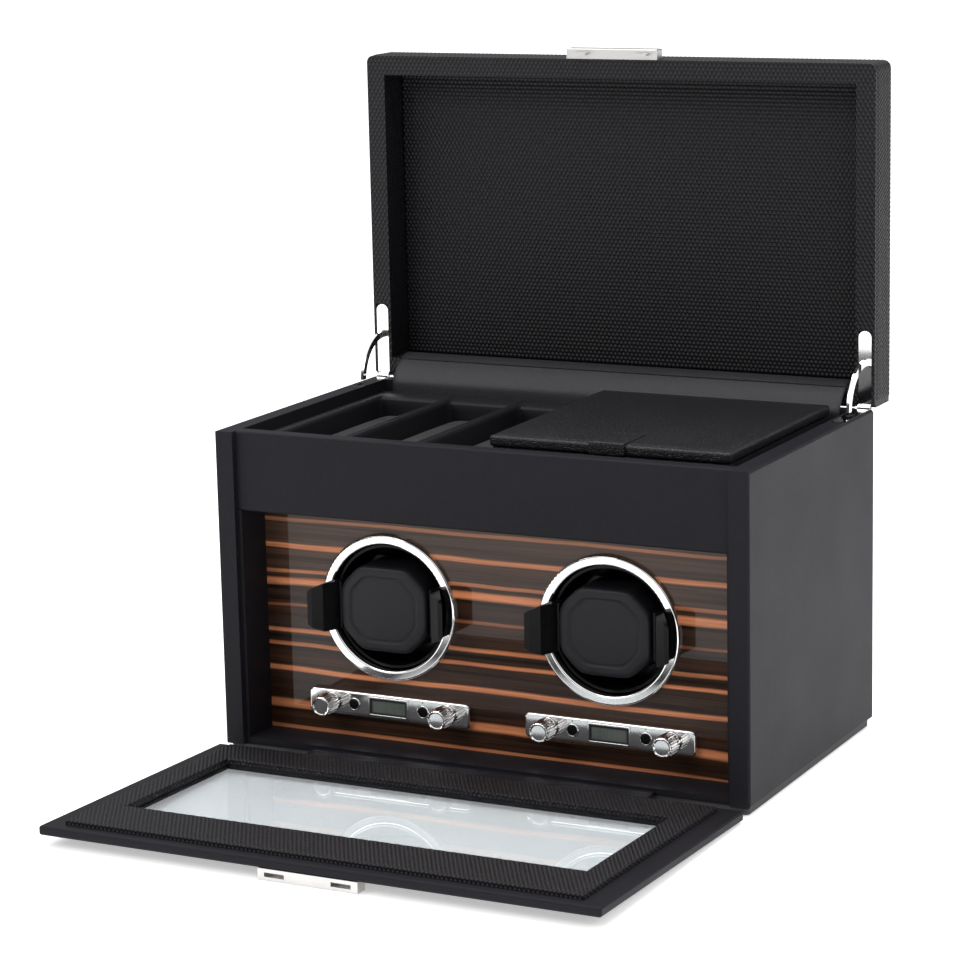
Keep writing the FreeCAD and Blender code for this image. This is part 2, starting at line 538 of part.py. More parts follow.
def make_lid():
    z0, z1 = HEIGHT + LID_GAP, HEIGHT + LID_GAP + LID_T
    walls = mitred_frame(SIDE_X, DOOR_OUT, BACK, LID_WALL, z0, z1)
    board_z = z1 - LID_BOARD
    envelope = box(-SIDE_X, SIDE_X, DOOR_OUT, BACK, z0, z1)
    envelope = round_edges(envelope, LID_R, lambda e: e.BoundBox.ZMax > z0 + 1
                           and not (e.BoundBox.YMin > BACK - 0.1 and along(e, AXIS_Z)))
    board = box(-SIDE_X + LID_WALL, SIDE_X - LID_WALL, DOOR_OUT + LID_WALL,
                BACK - LID_WALL, board_z, z1)
    y, z = LID_PIVOT.y, LID_PIVOT.z
    notches, leaves, screws, barrels, pins = [], [], [], [], []
    body_leaves, body_screws = [], []
    for sign in (-1, 1):
        x = sign * HINGE_X
        arm = lid_hinge_arm() if sign > 0 else mirrored(lid_hinge_arm())
        seat = box(x - LEAF_W / 2 - 0.1, x + LEAF_W / 2 + 0.1, BACK - LEAF_L - 0.1,
                   BACK + 1, z0 - 1, z0 + LEAF_T)
        hole = rod_z(x, SCREW_IN, SCREW_HOLE_R, z0, z0 + 9)
        notches += [seat, hole, rod_x(y, z, HINGE_BARREL_R + 0.4, x - HINGE_SPAN - 0.5,
                                      x + HINGE_SPAN + 0.5)]

        def leaf(low, high, hole_low, hole_high):
            plate = box(x - LEAF_W / 2, x + LEAF_W / 2, BACK - LEAF_L, BACK, low, high)
            plate = round_edges(plate, 3.9, lambda e: along(e, AXIS_Z)
                                and e.BoundBox.YMax < BACK - 10)
            return plate.cut(rod_z(x, SCREW_IN, LEAF_HOLE_R, hole_low, hole_high))

        room = rod_x(y, z, HINGE_BARREL_R + 0.4, x - HINGE_SPAN, x + HINGE_SPAN)
        keep = rod_x(y, z, HINGE_BARREL_R, x - 2.0, x + 2.0)
        upper = leaf(z0, z0 + LEAF_T, z0 - 1, z0 + 9).cut(room)
        web = box(x - 1.9, x + 1.9, BACK - 3.0, BACK, z0, z0 + LEAF_T)
        upper = upper.fuse(keep).fuse(web).cut(rod_x(y, z, HINGE_PIN_R + RUN_GAP, x - 9, x + 9))
        upper = upper.fuse(arm)
        leaves.append(upper)
        lower = leaf(HEIGHT - LEAF_T, HEIGHT, HEIGHT - 9, HEIGHT + 1)
        slot = box(x - ARM_T / 2 - 0.4, x + ARM_T / 2 + 0.4, BACK - 34.0, BACK - 20.0,
                   HEIGHT - 3, HEIGHT + 1)
        lower = lower.cut(room).cut(slot)
        for side in (-1, 1):
            a, b = sorted((x + side * 2.3, x + side * 4.0))
            knuckle = rod_x(y, z, HINGE_BARREL_R, a, b)
            foot = box(a, b, BACK - 3.0, BACK, HEIGHT - LEAF_T, HEIGHT)
            lower = lower.fuse(knuckle).fuse(foot)
        lower = lower.cut(rod_x(y, z, HINGE_PIN_R, x - 9, x + 9))
        body_leaves.append(lower)
        pins.append(rod_x(y, z, HINGE_PIN_R, x - 4.4, x + 4.4))
        screws.append(rod_z(x, SCREW_IN, SCREW_R, z0 - 0.15, z0 + SCREW_L))
        body_screws.append(rod_z(x, SCREW_IN, SCREW_R, HEIGHT - SCREW_L, HEIGHT + 0.15))
    shaped = [cut_all(w.common(envelope), notches) for w in walls]
    save("lid_walls", lid_open(shaped))
    save("lid_top_board", lid_open([board]))
    gap = 0.3
    lining = box(-SIDE_X + LID_WALL + gap, SIDE_X - LID_WALL - gap,
                 DOOR_OUT + LID_WALL + gap, BACK - LID_WALL - gap, board_z - LINING_T, board_z)
    save("lid_lining", lid_open([lining]))
    bar = box(-LATCH_W / 2, LATCH_W / 2, DOOR_OUT - LATCH_PROUD, DOOR_OUT, z0 + 0.4,
              z0 + LATCH_D)
    bar = round_edges(bar, 0.8, lambda e: e.BoundBox.YMax < DOOR_OUT - LATCH_PROUD + 0.1)
    hook_y = DOOR_OUT - LATCH_PROUD / 2
    for sign in (-1, 1):
        bar = bar.fuse(box(sign * HOOK_X - 4.5, sign * HOOK_X + 4.5, hook_y - 0.7,
                           hook_y + 0.7, DOOR_TOP - 3.0, z0 + 0.6))
    save("lid_latch_bar", lid_open([bar]))
    save("lid_hinge_leaves", lid_open(leaves))
    save("lid_screws", lid_open(screws))
    save("body_hinge_leaves", body_leaves)
    return pins, body_screws


def make_door(pins):
    x = SIDE_X
    gx = GLASS_W / 2
    side = box(gx, x, DOOR_OUT, DOOR_IN, DOOR_LOW, DOOR_TOP)
    side = round_edges(side, EDGE_R, lambda e: e.BoundBox.XMin > x - 0.1
                       or along(e, AXIS_X) and e.BoundBox.ZMin > DOOR_TOP - 1)
    top = box(-gx, gx, DOOR_OUT, DOOR_IN, GLASS_TOP, DOOR_TOP)
    top = round_edges(top, EDGE_R, lambda e: along(e, AXIS_X) and e.BoundBox.ZMin > DOOR_TOP - 1)
    low = box(-gx, gx, DOOR_OUT, DOOR_IN, DOOR_LOW, GLASS_LOW)
    rooms, leaves = [], []
    for sign in (-1, 1):
        px = sign * DOOR_HINGE_X
        y, z = DOOR_PIVOT.y, DOOR_PIVOT.z
        low_x, high_x = px - DOOR_LEAF_HALF, px + DOOR_LEAF_HALF
        rooms.append(rod_x(y, z, DOOR_KNUCKLE_R + 0.5, px - 12, px + 12))
        knuckle = rod_x(y, z, DOOR_KNUCKLE_R, low_x, high_x)
        arm = box(low_x, high_x, y - 0.6, y + 0.6, z, DOOR_LOW + 12)
        leaf = knuckle.fuse(arm).cut(rod_x(y, z, HINGE_PIN_R + RUN_GAP, px - 12, px + 12))
        leaves.append(leaf)
        rooms.append(arm)
        pins.append(rod_x(y, z, HINGE_PIN_R, px - 11, px + 11))
    low = cut_all(low, rooms)
    save("door_frame", door_open(pair(side) + [top, low]))
    save("door_hinge_leaves", door_open(leaves))
    y0, y1 = DOOR_IN, DOOR_IN + TRIM_T
    tx = TRIM_W / 2
    trim = [box(gx, tx, y0, y1, TRIM_LOW, TRIM_TOP), box(-tx, -gx, y0, y1, TRIM_LOW, TRIM_TOP),
            box(-gx, gx, y0, y1, GLASS_TOP, TRIM_TOP), box(-gx, gx, y0, y1, TRIM_LOW, GLASS_LOW)]
    save("door_trim", door_open(trim))
    middle = DOOR_IN - 0.6
    save("door_glass", door_open([box(-gx, gx, middle - GLASS_T, middle, GLASS_LOW, GLASS_TOP)]))
    block = box(-LATCH_W / 2, LATCH_W / 2, DOOR_OUT - LATCH_PROUD, DOOR_OUT,
                DOOR_TOP - LATCH_D, DOOR_TOP)
    slot_y = DOOR_OUT - LATCH_PROUD / 2
    slots = [box(s * HOOK_X - 6, s * HOOK_X + 6, slot_y - 1.2, slot_y + 1.2,
                 DOOR_TOP - 5, DOOR_TOP + 1) for s in (-1, 1)]
    save("striker_plate", door_open([cut_all(block, slots)]))


def door_knuckles():
    """Fixed knuckles beside the door's, on straps screwed to the base front."""
    y, z = DOOR_PIVOT.y, DOOR_PIVOT.z
    made = []
    for px in (-DOOR_HINGE_X, DOOR_HINGE_X):
        for side in (-1, 1):
            a, b = sorted((px + side * (DOOR_LEAF_HALF + 0.3), px + side * DOOR_HINGE_HALF))
            strap = box(a, b, y, FRONT + BASE_INSET, z - 0.6, z + 0.6)
            made.append(rod_x(y, z, DOOR_KNUCKLE_R, a, b).fuse(strap).cut(
                rod_x(y, z, HINGE_PIN_R, a - 1, b + 1)))
    return made


def make_gussets():
    """Limp leather that bridges the case to the lid and to the door."""
    half = IN_X - GUSSET_SIDE
    fold = BACK_IN - 1.8
    low, high = BACK_IN - 4.2, BACK - 0.9
    sheet = [V(-half, low - 1.4, TRAY_TOP), V(-half, low, TRAY_TOP),
             V(-half, fold, HEIGHT + 1.2), V(-half, high, HEIGHT + 14.5),
             V(-half, high - 1.2, HEIGHT + 15.0), V(-half, fold - 1.2, HEIGHT + 1.8)]
    save("lid_gusset", [prism(sheet, V(2 * half, 0, 0))])
    half = DOOR_GUSSET_HALF
    low = FLOOR_TOP - 2.6
    strip = box(-half, half, FRONT - 0.1, FASCIA_Y, low, low + GUSSET_T)
    tail = [V(-half, FRONT - 8.4, 6.0), V(-half, FRONT - 8.4, 6.0 + GUSSET_T),
            V(-half, FRONT - 0.1, low + GUSSET_T), V(-half, FRONT - 0.1, low)]
    save("door_gusset", [strip.fuse(prism(tail, V(2 * half, 0, 0)))])


def main():
    os.makedirs("parts", exist_ok=True)
    make_case()
    make_tray()
    make_travel_case()
    make_winders()
    make_controls()
    pins, screws = make_lid()
    make_door(pins)
    save("hinge_pins", pins)
    save("body_screws", screws)
    save("door_hinge_straps", door_knuckles())
    make_gussets()


main()
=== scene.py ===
import json
import math

import bpy
import numpy as np
from mathutils import Matrix, Vector


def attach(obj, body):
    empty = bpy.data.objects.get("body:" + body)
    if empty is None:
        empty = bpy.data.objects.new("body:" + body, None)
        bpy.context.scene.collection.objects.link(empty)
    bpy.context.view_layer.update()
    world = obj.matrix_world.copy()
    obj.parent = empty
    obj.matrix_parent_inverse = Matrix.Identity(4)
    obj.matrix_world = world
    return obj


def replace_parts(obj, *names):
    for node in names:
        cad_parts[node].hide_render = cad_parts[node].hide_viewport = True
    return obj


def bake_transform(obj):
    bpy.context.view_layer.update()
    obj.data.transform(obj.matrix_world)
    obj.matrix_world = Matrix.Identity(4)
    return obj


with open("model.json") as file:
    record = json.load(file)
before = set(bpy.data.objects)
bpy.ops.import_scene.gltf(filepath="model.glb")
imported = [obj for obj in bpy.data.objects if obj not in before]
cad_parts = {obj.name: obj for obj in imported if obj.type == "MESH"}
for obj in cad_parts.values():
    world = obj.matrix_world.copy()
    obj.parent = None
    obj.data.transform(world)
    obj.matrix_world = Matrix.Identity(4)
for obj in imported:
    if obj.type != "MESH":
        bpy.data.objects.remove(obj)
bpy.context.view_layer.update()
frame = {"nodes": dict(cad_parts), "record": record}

NODES = frame["nodes"]
MM = 0.001

# Sizes shared with the CAD model, in millimetres in the row frame.
SIDE_X, IN_X = 168.5, 156.5
FRONT, BACK = -98.8, 98.8
LID_PIVOT = (BACK, 195.3)
LID_RIM, LID_TOP = 195.6, 224.6
LID_WALL = 12.0
DOOR_PIVOT = (FRONT - 4.5, 2.5)
DOOR_OPEN = math.radians(88.4)
DOOR_IN = FRONT - 0.3
DOOR_OUT = DOOR_IN - 5.4
WINDER_X, WINDER_Z = 71.0, 90.5
PANEL_Y = FRONT + 30.0
CUFF_FACE = 8.0
CUFF_HALF = (29.0, 26.0)
CUFF_CORNER = 13.0
FIT = 0.3                    # a soft piece stands this far inside its CAD solid
TRAY_TOP = 188.0
TRAY_FLOOR = 153.1
TRAY_WALL = 7.0
TRAY_Y = (-86.2, 88.8)
SLOTS = 3
SLOT_Y = (-79.2, 72.0)
WELL_X = -4.0
WELL_IN = (-3.2, 148.5, -74.5, 83.5)
PILLOW_Y, PILLOW_Z = (-78.4, 71.2), (153.4, 176.0)
CASE_LOW, CASE_HIGH = (-1.0, -73.0, 192.8), (147.0, 82.0, 199.0)
PLATE_X, PLATE_Z, KNOB_DX = 71.5, 30.0, 38.5
PLATE_FACE = PANEL_Y - 4.0
BUTTON_DX = 23.0
KNOB_L, KNOB_RIBS = 13.0, 22
LID_GUSSET_HALF, DOOR_GUSSET_HALF = IN_X - 6, 110.0
TRIM_OUTER = (-155.5, 155.5, 14.5, 187.0)
TRIM_INNER = (-140.0, 140.0, 43.0, 150.0)
TRIM_T = 3.0
LINING_LOW, LINING_HIGH = 217.6, 220.6
LID_SCALE, DOOR_SCALE = 2.8, 2.6      # pitch of the embossed scales


# ---------------------------------------------------------------- places
def lid_place(x, y, z):
    """A point of the closed lid, where it is with the lid up."""
    return x, LID_PIVOT[0] + (z - LID_PIVOT[1]), LID_PIVOT[1] - (y - LID_PIVOT[0])


def door_place(x, y, z):
    """A point of the closed door, where it is with the door down."""
    u, v = y - DOOR_PIVOT[0], z - DOOR_PIVOT[1]
    c, s = math.cos(DOOR_OPEN), math.sin(DOOR_OPEN)
    return x, DOOR_PIVOT[0] + u * c - v * s, DOOR_PIVOT[1] + u * s + v * c


# ---------------------------------------------------------------- meshes
def make_mesh(name, points, faces, material, body, smooth=True):
    """Points in millimetres in the row frame."""
    mesh = bpy.data.meshes.new(name)
    mesh.from_pydata([tuple(c * MM for c in p) for p in points], [], faces)
    mesh.validate()
    mesh.polygons.foreach_set("use_smooth", [smooth] * len(mesh.polygons))
    mesh.update()
    piece = bpy.data.objects.new(name, mesh)
    bpy.context.scene.collection.objects.link(piece)
    mesh.materials.append(material)
    if body:
        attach(piece, body)
    return piece


def outward(piece):
    """Turn a closed piece's faces outward."""
    import bmesh
    bm = bmesh.new()
    bm.from_mesh(piece.data)
    bmesh.ops.remove_doubles(bm, verts=bm.verts, dist=1e-6)
    bmesh.ops.recalc_face_normals(bm, faces=bm.faces)
    bm.to_mesh(piece.data)
    bm.free()
    return piece


def honeycomb(a, b, pitch, height):
    """Raised hexagonal scales: the height over a point of the surface."""
    row = pitch * math.sqrt(3) / 2
    best = None
    j0 = np.floor(b / row)
    for dj in (0, 1):
        j = j0 + dj
        shift = (j % 2) * pitch / 2
        i = np.round((a - shift) / pitch)
        d = np.hypot(a - shift - i * pitch, b - j * row)
        best = d if best is None else np.minimum(best, d)
    t = np.clip(1 - best / (pitch * 0.58), 0, 1)
    return height * (1 - (1 - t) ** 2)


def axis_stops(lo, hi, radius, step, turns=4):
    """Stops along one side: close together where the edge is rounded."""
    bend = [radius * (1 - math.tan(math.pi / 4 * (1 - k / turns))) for k in range(turns)]
    inner = max(1, int(round((hi - lo - 2 * radius) / step)))
    middle = [lo + radius + (hi - lo - 2 * radius) * k / inner for k in range(inner + 1)]
    return [lo + b for b in bend] + middle + [hi - b for b in reversed(bend)]


def soft_box(lo, hi, radius, step, push=None, skip=()):
    """Rounded box as points and faces.  push(point, normal) gives an outward offset."""
    stops = [axis_stops(lo[k], hi[k], radius, step) for k in range(3)]
    index, points, normals, faces = {}, [], [], []
    lo_in = np.array(lo) + radius
    hi_in = np.array(hi) - radius

    def vertex(p):
        key = tuple(round(c, 4) for c in p)
        if key not in index:
            index[key] = len(points)
            p = np.array(p, float)
            core = np.clip(p, lo_in, hi_in)
            out = p - core
            out /= max(np.linalg.norm(out), 1e-9)
            points.append(core + out * radius)
            normals.append(out)
        return index[key]

    for axis in range(3):
        a, b = (axis + 1) % 3, (axis + 2) % 3
        for end in (0, 1):
            if (axis, end) in skip:
                continue
            fixed = (lo, hi)[end][axis]
            grid = []
            for u in stops[a]:
                line = []
                for v in stops[b]:
                    p = [0, 0, 0]
                    p[axis], p[a], p[b] = fixed, u, v
                    line.append(vertex(p))
                grid.append(line)
            for i in range(len(grid) - 1):
                for j in range(len(grid[0]) - 1):
                    quad = [grid[i][j], grid[i + 1][j], grid[i + 1][j + 1], grid[i][j + 1]]
                    faces.append(quad if end else quad[::-1])
    points, normals = np.array(points), np.array(normals)
    if push:
        points = points + normals * np.asarray(push(points, normals))[:, None]
    return points, faces


def ring_loft(outer, inner, profile, per_side):
    """Mitred rectangular ring.  profile is (share of the way in, height) pairs."""
    def corners(share):
        return [(outer[0] + (inner[0] - outer[0]) * share, outer[2] + (inner[2] - outer[2]) * share),
                (outer[1] + (inner[1] - outer[1]) * share, outer[2] + (inner[2] - outer[2]) * share),
                (outer[1] + (inner[1] - outer[1]) * share, outer[3] + (inner[3] - outer[3]) * share),
                (outer[0] + (inner[0] - outer[0]) * share, outer[3] + (inner[3] - outer[3]) * share)]

    points, faces = [], []
    count = 4 * per_side
    for share, height in profile:
        c = corners(share)
        for side in range(4):
            (x0, z0), (x1, z1) = c[side], c[(side + 1) % 4]
            for k in range(per_side):
                t = k / per_side
                points.append((x0 + (x1 - x0) * t, z0 + (z1 - z0) * t, height))
    for n in range(len(profile) - 1):
        for k in range(count):
            a, b = n * count + k, n * count + (k + 1) % count
            faces.append([a, b, b + count, a + count])
    return np.array(points, float), faces


def edge_profile(width, height, radius, step, foot=0.0):
    """Across a flat strip with two rounded edges, from one foot to the other."""
    arc = [math.pi / 2 * k / 4 for k in range(5)]
    rise = [(radius * (1 - math.cos(a)), height - radius + radius * math.sin(a)) for a in arc]
    flat = max(1, int((width - 2 * radius) / step))
    top = [(radius + (width - 2 * radius) * k / flat, height) for k in range(1, flat)]
    down = [(width - x, h) for x, h in reversed(rise)]
    shape = [(0.0, foot)] + rise + top + down + [(width, foot)]
    return [(x / width, h) for x, h in shape]


# ------------------------------------------------------------- materials
class Nodes:
    """A short way to write a node material."""

    def __init__(self, name):
        self.mat = bpy.data.materials.new(name)
        self.mat.use_nodes = True
        self.tree = self.mat.node_tree
        self.shader = self.tree.nodes["Principled BSDF"]
        self.coord = self.add("ShaderNodeTexCoord").outputs["Object"]

    def add(self, kind, inputs=None, **settings):
        node = self.tree.nodes.new(kind)
        for key, value in settings.items():
            setattr(node, key, value)
        for key, value in (inputs or {}).items():
            self.put(node.inputs[key], value)
        return node

    def put(self, socket, value):
        if isinstance(value, bpy.types.NodeSocket):
            self.tree.links.new(value, socket)
        else:
            socket.default_value = value

    def set(self, **inputs):
        for key, value in inputs.items():
            self.put(self.shader.inputs[key.replace("_", " ")], value)

    def scaled(self, scale):
        return self.add("ShaderNodeMapping", {"Vector": self.coord, "Scale": scale}).outputs[0]

    def noise(self, scale, detail=4.0, rough=0.55, vector=None):
        return self.add("ShaderNodeTexNoise", {"Vector": vector or self.coord, "Scale": scale,
                                               "Detail": detail, "Roughness": rough}).outputs[0]

    def voronoi(self, scale, feature="DISTANCE_TO_EDGE", vector=None):
        node = self.add("ShaderNodeTexVoronoi", {"Vector": vector or self.coord, "Scale": scale},
                        feature=feature)
        return node.outputs["Distance"]

    def math(self, operation, a, b=0.5, c=0.5):
        return self.add("ShaderNodeMath", {0: a, 1: b, 2: c}, operation=operation).outputs[0]

    def span(self, value, low, high, to_low, to_high):
        return self.add("ShaderNodeMapRange", {0: value, 1: low, 2: high, 3: to_low,
                                               4: to_high}).outputs[0]

    def mix(self, factor, a, b):
        node = self.add("ShaderNodeMix", data_type="RGBA")
        self.put(node.inputs[0], factor)
        self.put(node.inputs[6], a)
        self.put(node.inputs[7], b)
        return node.outputs[2]

    def bump(self, height, strength, distance, under=None):
        inputs = {"Height": height, "Strength": strength, "Distance": distance}
        if under is not None:
            inputs["Normal"] = under
        return self.add("ShaderNodeBump", inputs).outputs[0]


def shade(color, k):
    """The colour k times as bright, as RGBA."""
    return (color[0] * k, color[1] * k, color[2] * k, 1.0)


def scales(n, pitch, angle, pivot):
    """Rows of round scales, 1 on top and 0 between, laid out as on the closed piece."""
    c, s = math.cos(angle), math.sin(angle)
    y, z = pivot[0] * MM, pivot[1] * MM
    place = n.add("ShaderNodeMapping", {"Vector": n.coord, "Rotation": (angle, 0, 0),
                                        "Location": (0, y - c * y + s * z, z - s * y - c * z)})
    normal = n.add("ShaderNodeMapping", {"Vector": n.add("ShaderNodeTexCoord").outputs["Normal"],
                                         "Rotation": (angle, 0, 0)}, vector_type="VECTOR")
    here = n.add("ShaderNodeSeparateXYZ", {0: place.outputs[0]}).outputs
    facing = n.add("ShaderNodeSeparateXYZ", {0: normal.outputs[0]}).outputs
    across = n.math("GREATER_THAN", n.math("ABSOLUTE", facing[0]), 0.7)
    level = n.math("GREATER_THAN", n.math("ABSOLUTE", facing[2]), 0.7)
    a = n.math("MULTIPLY_ADD", across, n.math("SUBTRACT", here[1], here[0]), here[0])
    b = n.math("MULTIPLY_ADD", level, n.math("SUBTRACT", here[1], here[2]), here[2])
    best = None
    for shift in (0.0, 0.5):
        off = []
        for value, size in ((a, pitch * MM), (b, pitch * MM * math.sqrt(3))):
            part = n.math("FRACT", n.math("MULTIPLY_ADD", value, 1 / size, shift))
            off.append(n.math("MULTIPLY", n.math("SUBTRACT", part, 0.5), size))
        flat = n.add("ShaderNodeCombineXYZ", {0: off[0], 1: off[1]}).outputs[0]
        far = n.add("ShaderNodeVectorMath", {0: flat}, operation="LENGTH").outputs["Value"]
        best = far if best is None else n.math("MINIMUM", best, far)
    return n.span(best, pitch * MM * 0.12, pitch * MM * 0.56, 1.0, 0.0)


def leather(name, color, cell, depth, rough=0.5, shine=0.2, emboss=None):
    """Grained leather.  cell is the size of a grain cell in millimetres.  With emboss, the scales get
    painted shade between them and a painted highlight on their tops.
    """
    n = Nodes(name)
    warp = n.noise(90.0, 3.0)
    vector = n.add("ShaderNodeVectorMath", {0: n.coord, 1: n.add(
        "ShaderNodeCombineXYZ", {0: n.math("MULTIPLY", warp, 0.0012), 1: n.math(
            "MULTIPLY", warp, 0.0009)}).outputs[0]}, operation="ADD").outputs[0]
    cells = n.voronoi(1000.0 / cell, vector=vector)
    grain = n.span(cells, 0.0, 0.22, 0.0, 1.0)
    broad = n.noise(22.0, 5.0, 0.6)
    fine = n.noise(2600.0, 2.0)
    worn = n.span(broad, 0.35, 0.7, 0.0, 1.0)
    tone = n.mix(grain, shade(color, 0.62), shade(color, 1.06))
    tone = n.mix(n.math("MULTIPLY", worn, 0.3), tone, shade(color, 1.15))
    normal = n.bump(fine, 0.12, 0.00008)
    normal = n.bump(grain, 0.55, depth * MM, normal)
    if emboss:
        relief = scales(n, *emboss)
        # Painted shade: darker colour in the valleys between the raised scales.
        tone = n.mix(relief, shade(color, 0.35), tone)
        # Painted highlight: much brighter colour on the tops of the scales.
        tone = n.mix(n.span(relief, 0.55, 1.0, 0.0, 0.75), tone, shade(color, 2.6))
        normal = n.bump(relief, 0.9, 0.0006, normal)
    normal = n.bump(broad, 0.05, 0.0006, normal)
    n.set(Base_Color=tone, Normal=normal, Specular_IOR_Level=shine,
          Roughness=n.math("ADD", n.span(broad, 0.3, 0.7, rough - 0.03, rough + 0.03),
                           n.math("MULTIPLY", grain, -0.05)))
    return n.mat


def ebony_lacquer():
    """Striped ebony under a thick gloss lacquer, grain along X."""
    n = Nodes("ebony_lacquer")
    split = n.add("ShaderNodeSeparateXYZ", {0: n.coord})
    sway = n.noise(1.0, 3.0, 0.5, n.scaled((5.0, 1.0, 14.0)))
    wander = n.math("MULTIPLY", n.math("SUBTRACT", sway, 0.5), 0.010)
    height = n.math("ADD", split.outputs[2], wander)
    figure = n.noise(1.0, 6.0, 0.62, n.scaled((4.0, 30.0, 330.0)))
    fibre = n.noise(1.0, 4.0, 0.7, n.scaled((22.0, 200.0, 1500.0)))
    dark = n.mix(n.span(figure, 0.34, 0.66, 0.0, 1.0), (0.0050, 0.0026, 0.0018, 1),
                 (0.060, 0.024, 0.011, 1))
    dark = n.mix(n.span(fibre, 0.5, 0.75, 0.0, 0.35), dark, (0.11, 0.055, 0.032, 1))
    bands = n.noise(1.0, 2.0, 0.5, n.scaled((1.2, 1.0, 52.0)))
    dark = n.mix(n.span(bands, 0.52, 0.64, 0.0, 0.6), dark, (0.040, 0.028, 0.022, 1))
    stripe = None
    # Height and half width of each bright stripe, and how strong it is.
    for z, half, strength in ((139.0, 1.2, 0.5), (123.0, 1.7, 0.9), (107.5, 1.3, 0.55),
                              (101.0, 2.6, 1.0), (86.0, 1.0, 0.35), (70.0, 1.4, 0.85),
                              (61.5, 1.4, 0.85), (46.0, 1.7, 0.9), (23.5, 2.8, 1.0),
                              (9.5, 1.3, 0.7)):
        off = n.math("ABSOLUTE", n.math("SUBTRACT", height, z * MM))
        line = n.span(off, half * MM * 0.55, half * MM * 1.15, strength, 0.0)
        stripe = line if stripe is None else n.math("MAXIMUM", stripe, line)
    strength = n.math("MULTIPLY", stripe, n.span(figure, 0.3, 0.62, 0.55, 1.0))
    # A nearly black line under two of the stripes.
    shadows = []
    for z in (97.6, 66.0):
        off = n.math("ABSOLUTE", n.math("SUBTRACT", height, z * MM))
        shadows.append(n.span(off, 0.0006, 0.0016, 0.75, 0.0))
    under = n.math("MAXIMUM", *shadows)
    dark = n.mix(under, dark, (0.0030, 0.0018, 0.0014, 1))
    # Painted light: the wood is painted paler towards the top of the panel, where more light falls on
    # it.
    painted_top_light = n.math("MULTIPLY", n.span(height, 0.095, 0.145, 0.0, 0.7),
                  n.span(figure, 0.4, 0.6, 0.2, 1))
    dark = n.mix(painted_top_light, dark, (0.115, 0.068, 0.045, 1))
    copper = n.mix(n.span(fibre, 0.35, 0.7, 0.0, 1.0), (0.68, 0.21, 0.080, 1), (0.92, 0.38, 0.18, 1))
    n.set(Base_Color=n.mix(strength, dark, copper), Specular_IOR_Level=0.1,
          Roughness=n.span(fibre, 0.3, 0.7, 0.34, 0.46), Coat_Weight=0.5, Coat_Roughness=0.015,
          Coat_IOR=1.45)
    n.put(n.shader.inputs["Coat Normal"], n.bump(n.noise(9.0, 2.0), 0.05, 0.0006))
    return n.mat


def metal(name, color, rough, brushed=0.0, smudge=0.05):
    """Plated or plain metal with a faint film and fine scratches along X."""
    n = Nodes(name)
    film = n.noise(45.0, 4.0, 0.6)
    scratch = n.noise(1.0, 3.0, 0.7, n.scaled((60.0, 3500.0, 3500.0)))
    tone = n.mix(n.span(film, 0.35, 0.7, 0.0, 0.5), shade(color, 1.0), shade(color, 0.86))
    value = n.math("ADD", n.span(film, 0.3, 0.7, rough, rough + smudge),
                   n.math("MULTIPLY", scratch, 0.03 + brushed))
    n.set(Base_Color=tone, Metallic=1.0, Roughness=value,
          Normal=n.bump(scratch, 0.04 + brushed, 0.00003))
    return n.mat


def moulded(name, color, rough, coat=0.0, texture=900.0, shine=0.35):
    """Moulded plastic or rubber.  texture is the scale of its fine grain."""
    n = Nodes(name)
    film = n.noise(30.0, 4.0)
    spark = n.noise(texture, 2.0)
    tone = n.mix(n.span(film, 0.3, 0.7, 0.0, 1.0), shade(color, 0.8), shade(color, 1.3))
    n.set(Base_Color=tone, Roughness=n.span(film, 0.3, 0.7, rough, rough + 0.08),
          Coat_Weight=coat, Coat_Roughness=0.04, Normal=n.bump(spark, 0.08, 0.00006),
          Specular_IOR_Level=shine)
    return n.mat


def nap(name, color, scale, sheen):
    """Suede and felt: short fibres with a soft sheen."""
    n = Nodes(name)
    fibre = n.noise(scale, 6.0, 0.75)
    patch = n.noise(35.0, 3.0)
    tone = n.mix(n.span(fibre, 0.35, 0.65, 0.0, 1.0), shade(color, 0.7), shade(color, 1.3))
    tone = n.mix(n.span(patch, 0.4, 0.7, 0.0, 0.35), tone, shade(color, 1.5))
    n.set(Base_Color=tone, Roughness=0.88, Sheen_Weight=sheen, Sheen_Roughness=0.4,
          Specular_IOR_Level=0.25, Normal=n.bump(fibre, 0.5, 0.00018))
    return n.mat


def clear_glass():
    """Polished glass with a slightly uneven grey-blue tint."""
    n = Nodes("clear_glass")
    film = n.noise(14.0, 4.0)
    tint = n.mix(n.span(film, 0.3, 0.7, 0.0, 1.0), (0.80, 0.835, 0.85, 1), (0.77, 0.805, 0.82, 1))
    n.set(Base_Color=tint, Roughness=0.0, IOR=1.4, Transmission_Weight=1.0)
    return n.mat


def display():
    """An unlit grey-green display behind a gloss window, with faint segment cells."""
    n = Nodes("lcd")
    cells = n.add("ShaderNodeTexBrick", {"Vector": n.scaled((1.0, 1.0, 1.0)), "Scale": 260.0,
                                         "Mortar Size": 0.03, "Color1": (0.085, 0.10, 0.09, 1),
                                         "Color2": (0.10, 0.115, 0.10, 1),
                                         "Mortar": (0.06, 0.07, 0.064, 1)}).outputs[0]
    haze = n.noise(60.0, 3.0)
    n.set(Base_Color=n.mix(n.span(haze, 0.3, 0.7, 0.0, 0.6), cells, (0.14, 0.16, 0.145, 1)),
          Roughness=n.span(haze, 0.3, 0.7, 0.12, 0.2), Coat_Weight=1.0, Coat_Roughness=0.03)
    return n.mat


def raw_board():
    """Black-stained board: the underside."""
    n = Nodes("board")
    ring = n.noise(1.0, 6.0, 0.6, n.scaled((9.0, 220.0, 220.0)))
    tone = n.mix(n.span(ring, 0.3, 0.7, 0.0, 1.0), (0.012, 0.012, 0.013, 1),
                 (0.035, 0.034, 0.034, 1))
    n.set(Base_Color=tone, Roughness=n.span(ring, 0.3, 0.7, 0.55, 0.7), Normal=n.bump(ring, 0.3, 0.0002))
    return n.mat


